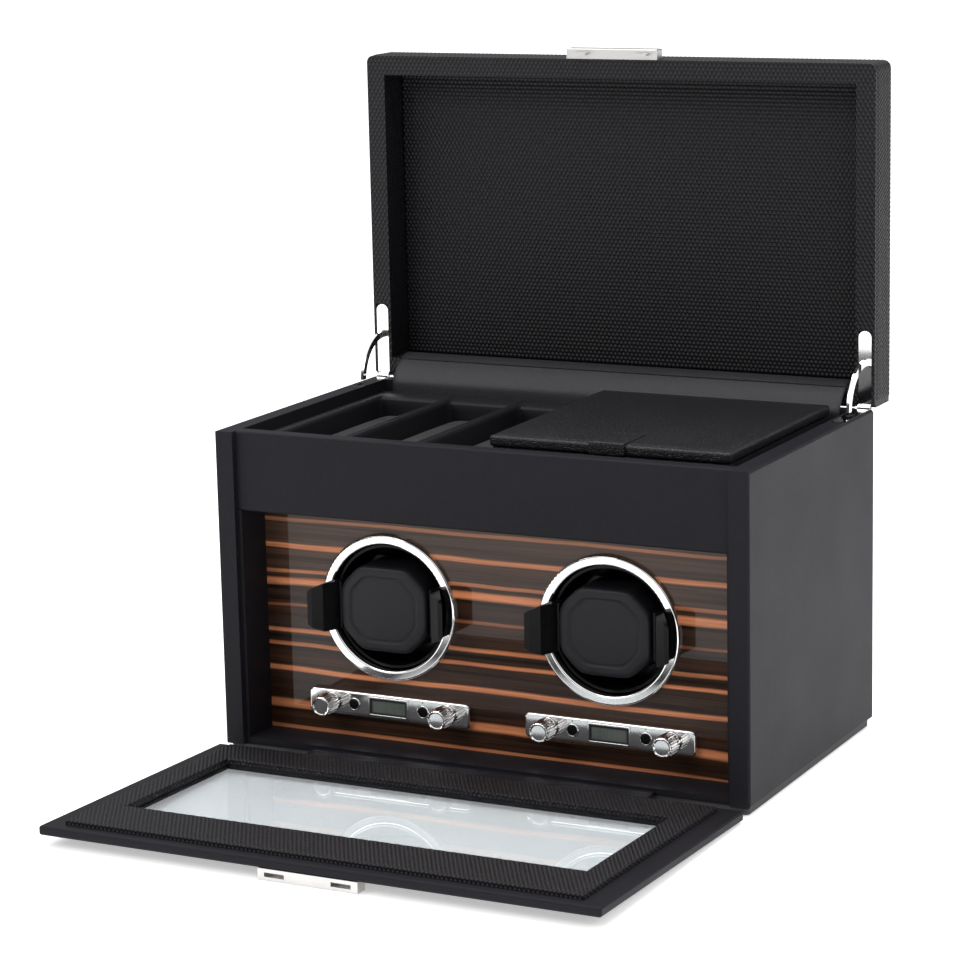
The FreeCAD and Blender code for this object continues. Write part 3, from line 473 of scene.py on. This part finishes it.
CHARCOAL = (0.0150, 0.0142, 0.0178)
CHARCOAL_SOFT = (0.0120, 0.0108, 0.0132)
LID_TURN = (math.pi / 2, LID_PIVOT)
DOOR_TURN = (-DOOR_OPEN, DOOR_PIVOT)
M = {
    "charcoal_leather": leather("charcoal_leather", CHARCOAL, 0.75, 0.05, 0.50, 0.09),
    "embossed_leather": leather("embossed_leather", CHARCOAL_SOFT, 0.6, 0.05, 0.46, 0.2,
                                (LID_SCALE, *LID_TURN)),
    "door_leather": leather("door_leather", CHARCOAL_SOFT, 0.6, 0.05, 0.46, 0.2,
                            (DOOR_SCALE, *DOOR_TURN)),
    "lining_leather": leather("lining_leather", (0.0130, 0.0118, 0.0138), 0.7, 0.05, 0.46),
    "pebbled_leather": leather("pebbled_leather", (0.0112, 0.0108, 0.0130), 1.6, 0.30, 0.36, 0.36),
    "pad_leather": leather("pad_leather", (0.0120, 0.0115, 0.0150), 0.8, 0.05, 0.45, 0.25),
    "gusset_leather": leather("gusset_leather", (0.034, 0.0335, 0.0375), 1.1, 0.12, 0.42, 0.3),
    "ebony_lacquer": ebony_lacquer(),
    "chrome": metal("chrome", (0.90, 0.89, 0.88), 0.05),
    "satin_chrome": metal("satin_chrome", (0.60, 0.59, 0.575), 0.26, 0.06),
    "steel": metal("steel", (0.50, 0.49, 0.48), 0.28, 0.10),
    "gloss_black": moulded("gloss_black", (0.0040, 0.0040, 0.0045), 0.24, 0.0, 900.0, 0.12),
    "matte_black": moulded("matte_black", (0.016, 0.016, 0.016), 0.5),
    "circuit": moulded("circuit", (0.02, 0.13, 0.05), 0.35, 0.3, 300.0),
    "belt_rubber": moulded("belt_rubber", (0.012, 0.012, 0.012), 0.7),
    "lcd": display(),
    "clear_glass": clear_glass(),
    "felt": nap("felt", (0.012, 0.012, 0.013), 1300.0, 0.4),
    "suede": nap("suede", (0.014, 0.0118, 0.0135), 900.0, 0.12),
    "board": raw_board(),
}


def paint_cad():
    """Give every CAD node the material of its slot."""
    special = {"lid_latch_bar": "satin_chrome", "striker_plate": "satin_chrome",
               "tray_floor": "pad_leather", "lid_hinge_leaves": "chrome"}
    slots = {p["node"]: p["material_slot"] for p in frame["record"]["subparts"]}
    for name, node in NODES.items():
        material = M[special.get(name, slots[name])]
        node.data.materials.clear()
        node.data.materials.append(material)


# ---------------------------------------------------------------- pieces
def lid_cover():
    """Embossed cover on the outside of the lid."""
    lo, hi = (-SIDE_X, DOOR_OUT, LID_RIM), (SIDE_X, BACK, LID_TOP)

    def emboss(points, normals):
        flat_a = np.where(np.abs(normals[:, 0]) > 0.7, points[:, 1], points[:, 0])
        flat_b = np.where(np.abs(normals[:, 2]) > 0.7, points[:, 1], points[:, 2])
        rim = np.clip((points[:, 2] - LID_RIM - 3.0) / 2.0, 0, 1)
        return 0.12 + honeycomb(flat_a, flat_b, LID_SCALE, 0.4) * rim

    points, faces = soft_box(lo, hi, 4.5, 0.9, emboss, skip=((2, 0),))
    make_mesh("lid_cover", [lid_place(*p) for p in points], faces, M["embossed_leather"],
              "lid")


def lid_lining():
    """Padded lining inside the lid, embossed up to a plain border."""
    border, fade = 6, 2
    x, y0, y1 = SIDE_X - LID_WALL - FIT, DOOR_OUT + LID_WALL + FIT, BACK - LID_WALL - FIT

    def emboss(points, normals):
        px, py = points[:, 0], points[:, 1]
        inside = (np.clip((x - border - np.abs(px)) / fade, 0, 1)
                  * np.clip((y1 - border - py) / fade, 0, 1)
                  * np.clip((py - y0 - border) / fade, 0, 1))
        return np.where(normals[:, 2] < -0.9, honeycomb(px, py, LID_SCALE, 0.35) * inside, 0.0)

    points, faces = soft_box((-x, y0, LINING_LOW), (x, y1, LINING_HIGH), 1.4, 0.9, emboss)
    lining = make_mesh("lid_lining_pad", [lid_place(*p) for p in points], faces,
                       M["embossed_leather"], "lid")
    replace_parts(outward(lining), "lid_lining")


def door_trim():
    """Embossed frame round the window, on the inside of the door."""
    profile = edge_profile(30.0, TRIM_T, 0.8, 1.1)
    points, faces = ring_loft(TRIM_OUTER, TRIM_INNER, profile, 150)
    top = points[:, 2] > TRIM_T - 0.05
    lift = honeycomb(points[:, 0], points[:, 1], DOOR_SCALE, 0.22)
    points[top, 2] += lift[top]
    placed = [door_place(x, DOOR_IN + h, z) for x, z, h in points]
    trim = make_mesh("door_trim_leather", placed, faces, M["door_leather"], "door")
    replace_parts(outward(trim), "door_trim")


def cuff_pads():
    """Octagonal watch cuffs with an inset panel and a seam round it."""
    around, across = 128, 40
    flat_end, edge_end = 0.72, 0.84       # shares of the rings on the face and on its edge
    edge_share, seam_share = 0.93, 0.74
    edge_r, depth = 3.0, 26.6
    half_w, half_h = (half - FIT for half in CUFF_HALF)

    def outline(angle):
        """Distance to the edge of a rounded octagon."""
        c, s = abs(math.cos(angle)), abs(math.sin(angle))
        flat = [c / half_w, s / half_h, (c + s) / (half_w + half_h - CUFF_CORNER)]
        return sum(f ** 20 for f in flat) ** (-1 / 20)

    def section(t):
        """Share of the outline, and depth behind the face, for a ring."""
        if t < flat_end:
            return t / flat_end * edge_share, 0.0
        if t < edge_end:
            a = (t - flat_end) / (edge_end - flat_end) * math.pi / 2
            return edge_share + (1 - edge_share) * math.sin(a), edge_r * (1 - math.cos(a))
        return 1.0, edge_r + (t - edge_end) / (1 - edge_end) * (depth - edge_r)

    face = PANEL_Y - CUFF_FACE
    for sign, side in ((-1, "left"), (1, "right")):
        cx = sign * WINDER_X
        points, faces = [], []
        for ring in range(across + 1):
            share, back = section(ring / across)
            seam = math.exp(-((share - seam_share) / 0.016) ** 2)
            step = 0.8 / (1 + math.exp((share - seam_share) * 90))
            crown = 1.1 * (1 - share ** 2) if back == 0 else 0.0
            y = face + back + seam + step - crown
            for k in range(around):
                angle = 2 * math.pi * k / around
                r = outline(angle) * share
                points.append((cx + r * math.cos(angle), y, WINDER_Z + r * math.sin(angle)))
        for ring in range(across):
            for k in range(around):
                a, b = ring * around + k, ring * around + (k + 1) % around
                faces.append([a, b, b + around, a + around])
        last = across * around
        faces.append([last + k for k in range(around)])
        pad = make_mesh("cuff_pad_%s_soft" % side, points, faces, M["pad_leather"],
                        "cuff_" + side)
        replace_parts(outward(pad), "cuff_pad_" + side)


def append_mesh(points, faces, more, made):
    """Add the points more and the faces made to a mesh's lists."""
    base = len(points)
    points += [tuple(p) for p in more]
    faces += [[i + base for i in f] for f in made]


def slot_sides(n):
    """The left and right sides of slot n in the tray."""
    x0, x1 = -IN_X + TRAY_WALL, WELL_X - TRAY_WALL
    width = (x1 - x0 - (SLOTS - 1) * TRAY_WALL) / SLOTS
    left = x0 + n * (width + TRAY_WALL)
    return left, left + width


def tray_cover():
    """Padded walls of the slots, each rim rolled over, and the rim of the travel case's well."""
    roll, hem = 3.0, 3.2
    profile = [(0.0, TRAY_TOP - hem), (0.0, TRAY_TOP - 0.9), (0.10, TRAY_TOP - 0.25),
               (0.25, TRAY_TOP)]
    for k in range(9):
        a = math.pi / 2 * k / 8
        profile.append((0.45 + 0.55 * math.sin(a), TRAY_TOP - roll * (1 - math.cos(a))))
    profile += [(1.0, TRAY_TOP - roll - 4.0 * k) for k in range(1, 8)] + [(1.0, TRAY_FLOOR)]
    points, faces = [], []
    for n in range(SLOTS):
        left, right = slot_sides(n)
        outer_left = left - (TRAY_WALL if n == 0 else TRAY_WALL / 2)
        outer_right = right + (TRAY_WALL if n == SLOTS - 1 else TRAY_WALL / 2)
        outer = (outer_left, outer_right, *TRAY_Y)
        append_mesh(points, faces, *ring_loft(outer, (left, right, *SLOT_Y), profile, 24))
    rim = [(0.0, TRAY_TOP - hem), (0.0, TRAY_TOP), (0.6, TRAY_TOP), (1.0, TRAY_TOP - 1.6),
           (1.0, TRAY_FLOOR)]
    append_mesh(points, faces, *ring_loft((WELL_X, IN_X, *TRAY_Y), WELL_IN, rim, 24))
    cover = make_mesh("tray_cover", points, faces, M["lining_leather"], "case")
    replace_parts(cover, "tray_frame")


def watch_pillows():
    """Suede pillows in the slots, each crowned and seamed."""
    gap = 0.9
    for n in range(SLOTS):
        left, right = slot_sides(n)
        lo = (left + gap, PILLOW_Y[0], PILLOW_Z[0])
        hi = (right - gap, PILLOW_Y[1], PILLOW_Z[1])
        middle, half = (lo[0] + hi[0]) / 2, (hi[0] - lo[0]) / 2
        length, centre = (hi[1] - lo[1]) / 2, (hi[1] + lo[1]) / 2

        def crown(points, normals):
            u = (points[:, 0] - middle) / half
            v = (points[:, 1] - centre) / length
            swell = np.clip(1 - u ** 2, 0, 1) * np.clip(1 - v ** 6, 0, 1)
            seam = np.exp(-((np.abs(v) - 0.62) / 0.012) ** 2) * 0.8
            top = np.clip(normals[:, 2], 0, 1)
            return (2.6 * swell - seam) * top

        points, faces = soft_box(lo, hi, 8.5, 2.2, crown)
        name = "watch_pillow_%d" % (n + 1)
        pillow = make_mesh(name + "_soft", points, faces, M["suede"], name)
        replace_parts(outward(pillow), name)


def travel_case_top():
    """Pebbled lid of the travel case, with a stitched finger tab over its front edge."""
    lo, hi = CASE_LOW, CASE_HIGH

    def panel(points, normals):
        """A border round a slightly raised and crowned middle."""
        inside = np.minimum(np.minimum(points[:, 0] - lo[0], hi[0] - points[:, 0]),
                            np.minimum(points[:, 1] - lo[1], hi[1] - points[:, 1]))
        edge = 0.45 * np.clip((inside - 3.0) / 2.5, 0, 1)
        return np.where(normals[:, 2] > 0.9, edge, 0.0)

    points, faces = soft_box(lo, hi, 1.6, 1.6, panel)
    top = make_mesh("travel_case_top", points, faces, M["pebbled_leather"], "travel_case_lid")
    x0, x1, y0, y1 = 62.0, 84.0, -74.5, -45.2
    under, level, end = 198.8, 200.4, 193.0
    tab, quads = [], []
    append_mesh(tab, quads, *soft_box((x0, y0, under), (x1, y1, level), 0.7, 2.0))
    append_mesh(tab, quads, *soft_box((x0, y0 - 0.1, end), (x1, y0 + 1.4, level - 0.2), 0.6, 2.0))
    make_mesh("travel_case_tab", tab, quads, M["pebbled_leather"], "travel_case_lid")
    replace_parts(outward(top), "travel_case_lid")
    stitch, pitch, inset = 1.9, 3, 2
    runs = []
    for x in (x0 + inset, x1 - inset):
        runs += [((x, y), (x, y + stitch)) for y in np.arange(y0 + inset, y1 - 2 * inset, pitch)]
    for x in np.arange(x0 + pitch, x1 - 2 * inset, pitch):
        runs.append(((x, y1 - inset), (x + stitch, y1 - inset)))
    stitches("travel_case_stitches", runs, level + 0.1, "travel_case_lid")


def stitches(name, runs, height, body):
    """Short rounded threads lying on a face that looks up."""
    around, sunk, up = 8, 0.12, np.array([0, 0, 1])
    bulge = ((0, 0.06), (0.2, 0.24), (0.5, 0.28), (0.8, 0.24), (1, 0.06))
    points, faces = [], []
    for (ax, ay), (bx, by) in runs:
        a, b = np.array([ax, ay, height]), np.array([bx, by, height])
        along = (b - a) / np.linalg.norm(b - a)
        side = np.cross(along, up)
        base = len(points)
        for t, r in bulge:
            for k in range(around):
                angle = 2 * math.pi * k / around
                points.append(tuple(a + (b - a) * t + side * r * math.cos(angle)
                                    + up * (r * math.sin(angle) - sunk)))
        for ring in range(len(bulge) - 1):
            for k in range(around):
                p, q = base + ring * around + k, base + ring * around + (k + 1) % around
                faces.append([p, q, q + around, p + around])
        last = base + (len(bulge) - 1) * around
        faces.append([base + k for k in reversed(range(around))])
        faces.append([last + k for k in range(around)])
    make_mesh(name, points, faces, M["pad_leather"], body)


def gusset(name, route, half, node, material, thick):
    """A leather strip along route, (y, z) points, curved between the case and the lid or the door.

    half is half its width.
    """
    columns, steps = 120, 6
    route = [Vector((0, y, z)) for y, z in route]
    curve = []
    for n in range(len(route) - 1):
        p0, p1 = route[max(n - 1, 0)], route[n]
        p2, p3 = route[n + 1], route[min(n + 2, len(route) - 1)]
        for k in range(steps):
            t = k / steps
            curve.append(0.5 * ((2 * p1) + (p2 - p0) * t + (2 * p0 - 5 * p1 + 4 * p2 - p3) * t * t
                                + (3 * p1 - p0 - 3 * p2 + p3) * t ** 3))
    curve.append(route[-1])
    points, faces = [], []
    for p in curve:
        for c in range(columns + 1):
            points.append((-half + 2 * half * c / columns, p.y, p.z))
    for r in range(len(curve) - 1):
        for c in range(columns):
            a = r * (columns + 1) + c
            faces.append([a, a + 1, a + columns + 2, a + columns + 1])
    strip = make_mesh(name, points, faces, material, None)
    solid = strip.modifiers.new("thickness", "SOLIDIFY")
    solid.thickness, solid.offset = thick * MM, 0.0
    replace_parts(strip, node)
    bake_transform(strip)


def gussets():
    """The strips that join the lid and the door to the case."""
    lid_route = [(88.35, 186.8), (88.4, 193.4), (90.6, 198.0), (95.0, 203.0),
                 (101.5, 207.6), (109.0, 209.6)]
    door_route = [(-94.9, 7.0), (-99.0, 6.9), (-102.5, 6.2), (-105.6, 6.3),
                  (-108.2, 7.2), (-111.0, 7.35)]
    gusset("lid_gusset_leather", lid_route, LID_GUSSET_HALF, "lid_gusset",
           M["gusset_leather"], 0.7)
    gusset("door_gusset_leather", door_route, DOOR_GUSSET_HALF, "door_gusset",
           M["charcoal_leather"], 0.6)


def lathe(points, faces, centre, profile, around, flutes=0):
    """Turn (radius, y, flute depth) round an axis along Y, and add it to the lists."""
    cx, cz = centre
    base = len(points)
    for radius, y, depth in profile:
        for k in range(around):
            a = 2 * math.pi * k / around
            r = radius - depth * abs(math.cos(flutes * a / 2)) ** 1.5
            points.append((cx + r * math.cos(a), y, cz + r * math.sin(a)))
    for ring in range(len(profile) - 1):
        for k in range(around):
            a, b = base + ring * around + k, base + ring * around + (k + 1) % around
            faces.append([a, b, b + around, a + around])
    last = base + (len(profile) - 1) * around
    faces.append([base + k for k in range(around)])
    faces.append([last + k for k in reversed(range(around))])


def plate_marks():
    """Small dark dots above the buttons."""
    y, rise = PLATE_FACE - 0.03, 5.6
    points, faces = [], []
    for sign in (-1, 1):
        for dx in (-BUTTON_DX, BUTTON_DX):
            centre = (sign * PLATE_X + dx, PLATE_Z + rise)
            lathe(points, faces, centre, [(0.35, y, 0), (0.45, y + 0.12, 0)], 20)
    outward(make_mesh("plate_dots", points, faces, M["matte_black"], "case"))


def knobs():
    """Deeply fluted knobs with a dished, rimmed face."""
    back = PLATE_FACE - 0.4
    front = back - KNOB_L
    profile = [(4.4, front + 0.45, 0), (4.8, front + 0.1, 0), (5.3, front, 0),
               (5.9, front + 0.3, 0.2), (6.4, front + 1.0, 0.8), (6.5, front + 1.8, 1.1),
               (6.5, back - 2.6, 1.1), (6.4, back - 1.8, 0.5), (6.1, back - 1.4, 0),
               (6.1, back, 0)]
    for n in range(4):
        plate, side = (-1, 1)[n // 2], (-1, 1)[n % 2]
        centre = (plate * PLATE_X + side * KNOB_DX, PLATE_Z)
        points, faces = [], []
        lathe(points, faces, centre, profile, 8 * KNOB_RIBS, KNOB_RIBS)
        name = "knob_%d" % (n + 1)
        knob = make_mesh(name + "_fluted", points, faces, M["chrome"], name, False)
        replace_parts(outward(knob), name)


def plate_trim():
    """Chrome rims round the buttons and displays, and a dark line inside each display rim."""
    face = PLATE_FACE
    points, faces, dark, more = [], [], [], []
    button = [(3.1, face + 0.3, 0), (3.1, face - 0.35, 0), (3.45, face - 0.6, 0),
              (3.9, face - 0.4, 0), (4.1, face + 0.1, 0)]
    # Half width, half height, border width and rise of each frame, and the lists it joins.
    frames = ((13.6, 5.9, 1.2, 0.7, points, faces), (12.4, 4.9, 1.3, 0.25, dark, more))
    for sign in (-1, 1):
        x = sign * PLATE_X
        for dx in (-BUTTON_DX, BUTTON_DX):
            lathe(points, faces, (x + dx, PLATE_Z), button, 48)
            # The rim is an open ring, so the lathe's two caps go.
            del faces[-2:]
        for w, h, border, rise, got, made in frames:
            outer = (x - w, x + w, PLATE_Z - h, PLATE_Z + h)
            inner = (x - w + border, x + w - border, PLATE_Z - h + border, PLATE_Z + h - border)
            outline, quads = ring_loft(outer, inner, edge_profile(border, rise, 0.2, 0.4), 24)
            append_mesh(got, made, [(px, face - height, pz) for px, pz, height in outline], quads)
    make_mesh("plate_rims", points, faces, M["chrome"], "case")
    make_mesh("display_borders", dark, more, M["matte_black"], "case")


# ----------------------------------------------------------------- stage
def stage():
    """White paper, a dim room under a bright ceiling, and three lamps."""
    floor = bpy.data.meshes.new("floor")
    floor.from_pydata([(-40, -40, 0), (40, -40, 0), (40, 40, 0), (-40, 40, 0)], [], [(0, 1, 2, 3)])
    piece = bpy.data.objects.new("floor", floor)
    bpy.context.scene.collection.objects.link(piece)
    n = Nodes("floor_paper")
    tone = n.noise(3.0, 3.0)
    n.set(Base_Color=n.mix(tone, (0.93, 0.93, 0.93, 1), (0.95, 0.95, 0.95, 1)), Roughness=0.75,
          Specular_IOR_Level=0.2, Emission_Color=(1, 1, 1, 1), Emission_Strength=0.45)
    floor.materials.append(n.mat)

    world = bpy.data.worlds.new("studio")
    bpy.context.scene.world = world
    world.use_nodes = True
    tree = world.node_tree
    back = tree.nodes["Background"]
    split = tree.nodes.new("ShaderNodeSeparateXYZ")
    tree.links.new(tree.nodes.new("ShaderNodeTexCoord").outputs["Generated"], split.inputs[0])
    ramp = tree.nodes.new("ShaderNodeValToRGB")
    tree.links.new(split.outputs[2], ramp.inputs[0])
    # A dim room low down, a bright ceiling above it.
    stops = ramp.color_ramp.elements
    stops[0].position, stops[0].color = 0.0, (0.05, 0.05, 0.055, 1)
    stops[1].position, stops[1].color = 0.62, (1.15, 1.15, 1.16, 1)
    stops.new(0.20).color = (0.05, 0.05, 0.055, 1)
    stops.new(0.34).color = (0.45, 0.45, 0.46, 1)
    seen = tree.nodes.new("ShaderNodeLightPath")
    choose = tree.nodes.new("ShaderNodeMix")
    choose.data_type = "RGBA"
    tree.links.new(seen.outputs["Is Camera Ray"], choose.inputs[0])
    tree.links.new(ramp.outputs[0], choose.inputs[6])
    choose.inputs[7].default_value = (1, 1, 1, 1)
    tree.links.new(choose.outputs[2], back.inputs[0])

    target = Vector((0, 0, 0.12))
    for name, place, size, power in (("key", (1.6, 0.5, 1.0), 1.0, 6.0),
                                     ("front", (-1.1, -1.7, 1.5), 1.2, 15.0),
                                     ("top", (0.1, 0.2, 1.9), 1.2, 20.0)):
        light = bpy.data.lights.new(name, "AREA")
        light.size, light.energy = size, power
        lamp = bpy.data.objects.new(name, light)
        bpy.context.scene.collection.objects.link(lamp)
        lamp.location = place
        lamp.rotation_mode = "QUATERNION"
        lamp.rotation_quaternion = (target - Vector(place)).to_track_quat("-Z", "Y")
    bpy.context.scene.view_settings.view_transform = "Standard"


def camera():
    """A view from 27 degrees to the right of the front and 12 above."""
    data = bpy.data.cameras.new("camera")
    data.lens = 117.7
    data.sensor_width = 36.0
    data.clip_start, data.clip_end = 0.05, 100.0
    piece = bpy.data.objects.new("camera", data)
    bpy.context.scene.collection.objects.link(piece)
    azimuth, elevation, roll = math.radians(26.995), math.radians(11.957), math.radians(1.262)
    back = Vector((math.sin(azimuth) * math.cos(elevation), -math.cos(azimuth) * math.cos(elevation),
                   math.sin(elevation)))
    right = (-back).cross(Vector((0, 0, 1))).normalized()
    up = back.cross(right)
    c, s = math.cos(roll), math.sin(roll)
    across, above = c * right - s * up, s * right + c * up
    turn = Matrix((across, above, back)).transposed()
    piece.matrix_world = Matrix.Translation((0.8020, -1.6556, 0.5457)) @ turn.to_4x4()
    bpy.context.scene.camera = piece


camera()
stage()
paint_cad()
lid_cover()
lid_lining()
door_trim()
cuff_pads()
tray_cover()
watch_pillows()
travel_case_top()
gussets()
plate_marks()
plate_trim()
knobs()
